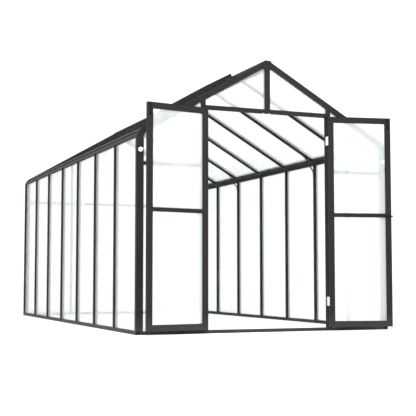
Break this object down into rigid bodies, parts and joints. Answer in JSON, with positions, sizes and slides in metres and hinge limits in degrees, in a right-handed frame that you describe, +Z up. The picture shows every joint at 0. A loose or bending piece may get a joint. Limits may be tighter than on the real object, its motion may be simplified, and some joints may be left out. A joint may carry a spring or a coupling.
{
  "type": "walk-in greenhouse",
  "caption": "Walk-in gable greenhouse with a dark aluminium frame, clear sheets, outward double doors and hinged roof vents.",
  "frame": {"origin": "on the ground at the centre of the footprint and of the four ground anchor holes", "axes": "+X across the width, +Y from the double doors to the back gable, +Z up"},
  "size_m": [2.58, 5.0938, 2.5565],
  "materials": {
    "frame_powder": "satin charcoal powder coat",
    "glazing": "clear twin-wall polycarbonate",
    "door_glazing": "slightly milky twin-wall polycarbonate",
    "hinge_metal": "bright anodised",
    "pin_steel": "satin",
    "seal_rubber": "matt",
    "catch_plastic": "white nylon",
    "hardware_black": "black"
  },
  "bodies": {
    "frame": {"base_rail_left": "frame_powder", "base_rail_right": "frame_powder", "base_rail_front": "frame_powder", "base_rail_back": "frame_powder", "corner_post_front_left": "frame_powder", "corner_post_front_right": "frame_powder", "corner_post_back_left": "frame_powder", "corner_post_back_right": "frame_powder", "eave_elbows": "frame_powder", "rakes_front": "frame_powder", "rakes_back": "frame_powder", "ridge_end_caps": "frame_powder", "ridge_beam": "frame_powder", "eave_beam_left": "frame_powder", "eave_beam_right": "frame_powder", "door_jamb_left": "frame_powder", "door_jamb_right": "frame_powder", "door_header": "frame_powder", "gable_post_front": "frame_powder", "transoms_front": "frame_powder", "back_posts": "frame_powder", "back_mid_rails": "frame_powder", "wall_bars_left": "frame_powder", "wall_bars_right": "frame_powder", "roof_bars_left": "frame_powder", "roof_bars_right": "frame_powder", "knee_braces": "frame_powder", "wall_panels_left": "glazing", "wall_panels_right": "glazing", "front_panels": "glazing", "back_panels": "glazing", "roof_panels_left": "glazing", "roof_panels_right": "glazing", "vent_sills": "frame_powder", "vent_hinge_leaves": "hinge_metal", "hinge_pins": "pin_steel", "jamb_hinge_leaves": "hinge_metal", "door_seals": "seal_rubber", "holdback_catches": "catch_plastic"},
    "door_left": {"door_left_stiles": "frame_powder", "door_left_rails": "frame_powder", "door_left_panes": "door_glazing", "door_left_hinge_leaves": "hinge_metal", "door_left_bolt_guides": "hardware_black"},
    "bolt_left": {"door_left_bolt": "hardware_black"},
    "vent_left": {"vent_left_frame": "frame_powder", "vent_left_panel": "glazing"},
    "stay_left": {"vent_left_stay": "hardware_black"},
    "door_right": {"door_right_stiles": "frame_powder", "door_right_rails": "frame_powder", "door_right_panes": "door_glazing", "door_right_hinge_leaves": "hinge_metal", "door_right_bolt_guides": "hardware_black"},
    "bolt_right": {"door_right_bolt": "hardware_black"},
    "vent_right": {"vent_right_frame": "frame_powder", "vent_right_panel": "glazing"},
    "stay_right": {"vent_right_stay": "hardware_black"},
    "latch": {"latch_handle": "hardware_black"}
  },
  "joints": [
    {"name": "door_left_swing", "type": "hinge", "parent": "frame", "child": "door_left", "pos_m": [-0.6285, -2.457, 1], "axis": [0, 0, 1], "range_deg": [0, 170]},
    {"name": "door_right_swing", "type": "hinge", "parent": "frame", "child": "door_right", "pos_m": [0.6285, -2.457, 1], "axis": [0, 0, -1], "range_deg": [0, 167.8]},
    {"name": "bolt_left_slide", "type": "slide", "parent": "door_left", "child": "bolt_left", "axis": [0, 0, 1], "range_m": [0, 0.022]},
    {"name": "bolt_right_slide", "type": "slide", "parent": "door_right", "child": "bolt_right", "axis": [0, 0, 1], "range_m": [0, 0.022]},
    {"name": "latch_turn", "type": "hinge", "parent": "door_right", "child": "latch", "pos_m": [1.21058, -2.60638, 1.093], "axis": [-0.2113, -0.9774, 0], "range_deg": [0, 90]},
    {"name": "vent_left_swing", "type": "hinge", "parent": "frame", "child": "vent_left", "pos_m": [-0.0485, -1.4, 2.53], "axis": [0, 1, 0], "range_deg": [0, 45]},
    {"name": "vent_right_swing", "type": "hinge", "parent": "frame", "child": "vent_right", "pos_m": [0.0485, 1.4, 2.53], "axis": [0, -1, 0], "range_deg": [0, 45]},
    {"name": "stay_left_swing", "type": "hinge", "parent": "vent_left", "child": "stay_left", "pos_m": [-0.57276, -1.4, 2.23256], "axis": [0, 1, 0], "range_deg": [0, 80]},
    {"name": "stay_right_swing", "type": "hinge", "parent": "vent_right", "child": "stay_right", "pos_m": [0.57276, 1.4, 2.23256], "axis": [0, -1, 0], "range_deg": [0, 80]}
  ]
}
